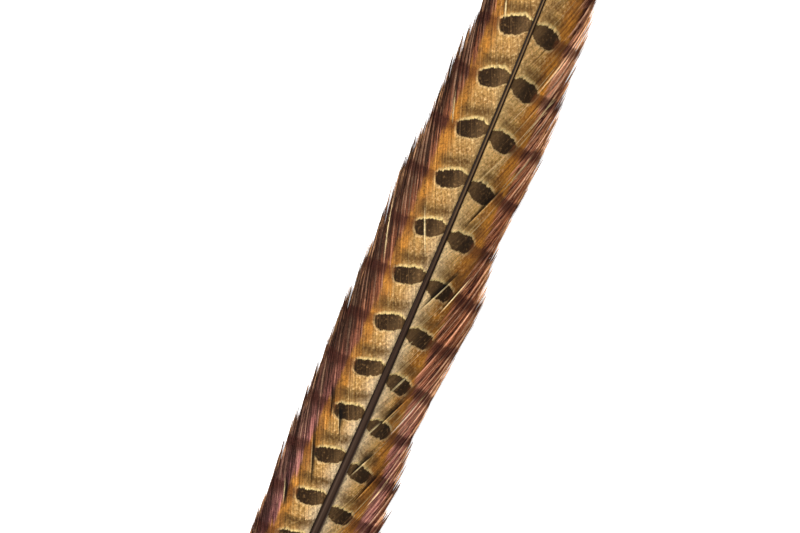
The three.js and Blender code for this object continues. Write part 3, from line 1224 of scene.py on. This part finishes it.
# %% Colour the fringe
PURPLE = (205.0, 135.0)  # places along the feather
UPPER_FRINGE = (262.0, 296.0)
OUTERMOST = (16.0, 20.0)  # mm out


def colour_fringe(web):
    """Sets the colour of the fringe."""
    s, strand, wisp, streak, colour = web.s, web.strand, web.wisp, web.streak, web.colour
    hair = (strand * 30.0 + web.edge * 1.5).noise(web.run * 0.1, 13.0)
    tone = wisp * 0.4 + (streak - 0.5) * 2.2 + strand * 0.5 + (hair - 0.5) * 2.6
    purple = s.step(*PURPLE) * 0.75
    deep = purple.mix(colour["deep"], colour["purple_deep"])
    pale = purple.mix(colour["pale"], colour["purple_pale"])
    pale = s.step(*UPPER_FRINGE).mix(pale, colour["upper_pale"])
    fringe = tone.step(0.25, 0.75).mix(deep, pale)
    # Outermost the fringe turns to its outside colour. On the left web that near-black brown is partly
    # painted shade.
    fringe = (web.t.step(*OUTERMOST) * 0.8).mix(fringe, colour["outside"])
    rim_light = web.tips.step(0.3, 0.9) * (hair * 0.7 + strand * 0.5).step(0.42, 0.78)
    fringe = (rim_light * (web.law["lights"] * 1.6)).mix(fringe, colour["rim_light"])
    lit_edge = web.across.step(0.72, 0.95) * (wisp + streak * 0.5).step(0.45, 0.8)
    fringe = (lit_edge * web.law["lights"]).mix(fringe, colour["lit_edge"])
    web.fringe = (web.level * 0.8).mix(fringe, colour["fringe_bar"])


on_both(colour_fringe)

# %% [markdown]
# ## Barb by barb
#
# The pattern and the fringe meet in a ragged line, from barb to barb. Then each barb gets a tone of its
# own. Folds get a painted shade, and the edges at partings and folds get a painted light. Each fine wisp
# gets a painted highlight on its raised edge and a painted shade on its low one. The relief is the fine
# ribbing of the barbules across each barb, which is too fine for the mesh.

# %% Finish the webs
BARBULE_SPACING = 0.36
WEB_RELIEF = 0.0006  # metres


def finish_web(web):
    """Puts the web's colour and relief together."""
    t, strand, streak, across, grain = web.t, web.strand, web.streak, web.across, web.grain
    border = web.law["fringe"]
    ragged = web.outward + (web.wisp - 0.5) * 1.6 + (strand - 0.5) * 0.8
    colour = ragged.step(border - 0.7, border + 0.7).mix(web.pattern, web.fringe)
    # Painted light: barbs at a parting, and the raised edge of a fold, are brightened to a pale cream.
    colour = (web.gap.step(0.25, 0.8) * 0.85).mix(colour, web.colour["edge_light_tint"])
    # Painted light and shade: the raised edge of each fine wisp is lightened and its low edge darkened.
    slate_light_and_shade = across.step(0.8, 1.0) - across.step(0.15, 0.0)
    line = (streak - 0.5) * 0.7 + (strand - 0.5) * 0.42 + slate_light_and_shade * 0.14
    line = line * (t.step(8.0, 13.0) * 0.6 + 1)
    texture = ((grain - 0.5) * 0.85 + (web.fine - 0.5) * 1.4 + line) * web.law["contrast"] + 1
    # Painted shade under the folds darkens the barbs there.
    shade = texture * (1 - web.fold.step(0.02, 0.55) * 0.9)
    web.feed(Base_Color=shade.brighten(colour))
    barbules = ((web.run + web.edge * 0.35) * (2 * math.pi / BARBULE_SPACING)).maths("SINE")
    web.bump(barbules * 0.035 + grain + web.fine * 0.4, WEB_RELIEF)


on_both(finish_web)
for side, web in webs.items():
    web.cover(vanes[side], fringes[side])

# %% [markdown]
# ## The finish of the shaft
#
# The quill is clear pale horn, with the dry caps of its pith showing through. Above the down the shaft
# turns a dark purple-brown, with nearly black edges and a lighter line along its middle that gets clearer
# towards the tip. Low down, a painted shine lies left of its middle and a painted highlight along its
# right edge. Its underside stays pale, and the inside of the quill's hole is darkened as painted shade.

# %% Colour the shaft
PITH_CAP = 3.7  # distance between the caps of pith
LOW_SHAFT = (200.0, 130.0)  # places along the shaft
UPPER_SHAFT = (200.0, 330.0)
DARKENS = (48.0, 96.0)
HORN_RELIEF = 0.00006  # metres
HORN = {key: tint(*rgb) for key, rgb in {
    "pale": (208, 188, 150), "cloud": (182, 156, 118), "cap": (186, 156, 114),
    "quill_side": (170, 140, 98), "quill_end": (150, 118, 80), "hole": (70, 52, 36),
    "dark": (47, 32, 24), "upper_dark": (28, 15, 5),
    "line": (78, 61, 50), "upper_line": (126, 99, 68), "side": (18, 7, 0), "left_shine": (94, 75, 62),
    "right_edge": (108, 90, 76), "underside": (176, 152, 116),
}.items()}


def quill_colour(s, cross, clouds):
    """Pale horn, with caps of pith and a browner end."""
    caps = ((s * (2 * math.pi / PITH_CAP) + clouds * 5 + cross * cross).maths("SINE")).step(0.35, 0.95)
    pale = clouds.mix(HORN["pale"], HORN["cloud"])
    pale = (caps * s.step(44.0, 30.0) * s.step(3.0, 9.0) * 0.5).mix(pale, HORN["cap"])
    pale = (cross.maths("ABSOLUTE").step(0.5, 0.95) * 0.5).mix(pale, HORN["quill_side"])
    return s.step(7.0, 0.0).mix(pale, HORN["quill_end"])


def shaft_colour(s, cross, rise, fibres, clouds):
    """Dark horn, with its lines along the top and its pale underside."""
    dark = (s + clouds * 40).step(*UPPER_SHAFT).mix(HORN["dark"], HORN["upper_dark"])
    middle_line = (cross + (fibres - 0.5) * 0.2 + 0.1).mound(0.0, 0.4)
    line_colour = s.step(200.0, 300.0).mix(HORN["line"], HORN["upper_line"])
    low_shaft = s.step(*LOW_SHAFT)
    top = (middle_line * (s.step(180.0, 300.0) * 0.55 + 0.4)).mix(dark, line_colour)
    top = (cross.maths("ABSOLUTE").step(0.45, 0.8) * 0.95).mix(top, HORN["side"])
    top = ((cross - 0.27).mound(0.0, 0.3) * low_shaft * 0.6).mix(top, HORN["left_shine"])
    # Painted highlight: a paler line along the shaft's right edge, low down.
    top = (cross.step(-0.62, -0.8) * low_shaft * 0.8).mix(top, HORN["right_edge"])
    return rise.step(-0.1, -0.7).mix(top, HORN["underside"])


def horn_finish():
    """The material of the quill and the shaft."""
    horn = Finish("horn", {"Specular IOR Level": 0.06})
    s, cross, rise, inside = (horn.attribute(name) for name in ("along", "cross", "rise", "inside"))
    fibres = (cross * 9).noise(s * 0.05, rise * 6, 3.0)
    clouds = (s * 0.05).noise(cross * 0.8, rise, 2.0)
    upwards = (s + clouds * 26 - 13).step(*DARKENS)
    colour = upwards.mix(quill_colour(s, cross, clouds), shaft_colour(s, cross, rise, fibres, clouds))
    # Inside the quill's hole the horn is darkened, as painted shade.
    horn.feed(Base_Color=inside.mix(colour, HORN["hole"]), Roughness=fibres * 0.25 + 0.28)
    horn.bump(fibres, HORN_RELIEF)
    return horn


horn_finish().cover(shaft)

# %% [markdown]
# ## The finish of the down
#
# The down is grey-brown, paler towards the ends of its barbules. Its softness comes from the mesh, so the
# material stays simple.

# %% Colour the down
GREYS = (tint(150, 134, 116), tint(192, 176, 156))
PALE_END = tint(214, 202, 184)


def down_finish():
    """The material of the stems and the fluff."""
    down = Finish("down", {"Roughness": 0.8, "Specular IOR Level": 0.2})
    grey = down.attribute("strand").mix(*GREYS)
    down.feed(Base_Color=(down.attribute("run") * 0.6).mix(grey, PALE_END))
    return down


down_finish().cover(*downs[LEFT], *downs[RIGHT])

# %% [markdown]
# ## Ground and light
#
# The ground is a wide white sheet that glows faintly, like a light table, so that it stays clean white
# round the feather. White walls all round and a dimmer ceiling let the light come in low, which shapes
# the barbs better than light from straight above.

# %% Ground and walls
GROUND_HALF = 6.0  # metres
CEILING = 0.38  # brightness of the ceiling, where the walls have 1


def make_ground():
    """A plain white sheet under the feather."""
    half = GROUND_HALF
    corners = [(-half, -half, 0), (half, -half, 0), (half, half, 0), (-half, half, 0)]
    mesh = bpy.data.meshes.new("ground")
    mesh.from_pydata(corners, [], [(0, 1, 2, 3)])
    ground = add_object("ground", mesh)
    white = {"Base Color": (0.9, 0.9, 0.9, 1), "Roughness": 0.9, "Specular IOR Level": 0.0,
             "Emission Color": (1, 1, 1, 1), "Emission Strength": 0.6}
    Finish("ground", white).cover(ground)


def make_walls():
    """White walls and a dimmer ceiling, as the world's light."""
    world = bpy.data.worlds.new("studio")
    world.use_nodes = True
    background = world.node_tree.nodes["Background"]
    background.inputs["Color"].default_value = (1, 1, 1, 1)
    direction = Value(world.node_tree, None).node("TexCoord", output="Generated")
    height = direction.node("SeparateXYZ", None, {0: direction}, output="Z")
    strength = height.step(0.5, 0.2) * (1 - CEILING) + CEILING
    world.node_tree.links.new(strength.socket, background.inputs["Strength"])
    bpy.context.scene.world = world


make_ground()
make_walls()
bpy.context.scene.view_settings.view_transform = "Standard"

# %% [markdown]
# ## The camera
#
# The camera looks straight down through a long lens, which keeps the feather's proportions true. Its
# place is solved from two points of the shaft: where it leaves the view's top edge and where it comes
# near the bottom edge. Points of the plane are complex numbers, so one division gives both the scale and
# the turn.

# %% Place the camera
VIEW_SIZE = (800, 533)  # pixels
SHAFT_AT_TOP = {"s": 332, "pixel": (543.8, 0)}
SHAFT_AT_BOTTOM = {"s": 118, "pixel": (315.7, 530.4)}
LENS = 100
SENSOR = 36
IN_SCALE_AT = 6 * MM  # the height that the scale holds for


def in_plane(s):
    """The middle of the shaft at `s`, seen from above, as a complex number in metres."""
    return complex(*in_frame(np.array([s, sideways(s), along(SHAFT_HEIGHT, s)]))[:2])


def in_view(pixel):
    """A pixel as a complex number, from the middle of the view."""
    return complex(pixel[0] - VIEW_SIZE[0] / 2, VIEW_SIZE[1] / 2 - pixel[1])


def make_camera():
    """Looks straight down, turned and placed so that the two points of the shaft fall on their pixels."""
    bottom = in_plane(SHAFT_AT_BOTTOM["s"])
    seen_bottom = in_view(SHAFT_AT_BOTTOM["pixel"])
    real = in_plane(SHAFT_AT_TOP["s"]) - bottom
    seen = in_view(SHAFT_AT_TOP["pixel"]) - seen_bottom
    metres_per_pixel = abs(real) / abs(seen)
    turn = real / seen / abs(real / seen)
    middle = bottom - seen_bottom * metres_per_pixel * turn
    distance = metres_per_pixel * VIEW_SIZE[0] * LENS / SENSOR
    camera_data = bpy.data.cameras.new("camera")
    camera_data.lens = LENS
    camera_data.sensor_width = SENSOR
    camera = add_object("camera", camera_data)
    camera.location = (middle.real, middle.imag, distance + IN_SCALE_AT)
    camera.rotation_euler = (0, 0, math.atan2(turn.imag, turn.real))
    bpy.context.scene.camera = camera
    return camera


camera = make_camera()
turned = math.degrees(camera.rotation_euler.z)
print("camera", round(camera.location.z, 3), "m up, turned", round(turned, 1), "degrees")

# %% [markdown]
# ## The window
#
# A large soft light from the upper left of the view gives each barb a lit and a shaded flank. It is
# placed from the camera, so that it stays at the upper left when the camera is turned here.

# %% Light from a window
WINDOW_SIZE = 0.35
WINDOW_POWER = 19
WINDOW_ASIDE = (-0.6, 0.6, 0)  # in the camera's own directions
WINDOW_HEIGHT = 0.8


def make_light(name, place, target, size, power):
    """A square soft light that faces the target."""
    lamp = bpy.data.lights.new(name, "AREA")
    lamp.size = size
    lamp.energy = power
    light = add_object(name, lamp)
    light.location = place
    light.rotation_euler = (target - light.location).to_track_quat("-Z", "Y").to_euler()
    return light


look_at = camera.location.copy()
look_at.z = 0
window_at = look_at + camera.matrix_basis.to_3x3() @ Vector(WINDOW_ASIDE) + Vector((0, 0, WINDOW_HEIGHT))
window = make_light("window", window_at, look_at, WINDOW_SIZE, WINDOW_POWER)
print("window at", [round(place, 2) for place in window.location])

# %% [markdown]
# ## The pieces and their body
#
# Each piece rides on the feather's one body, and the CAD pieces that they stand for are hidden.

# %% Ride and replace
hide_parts("shaft")
for side in (LEFT, RIGHT):
    for piece in (vanes[side], fringes[side]):
        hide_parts(SIDE_NAMES[side] + "_vane")
    for piece in downs[side]:
        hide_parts(SIDE_NAMES[side] + "_down")
for piece in (shaft, *vanes.values(), *fringes.values(), *downs[LEFT], *downs[RIGHT]):
    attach(piece, "root")
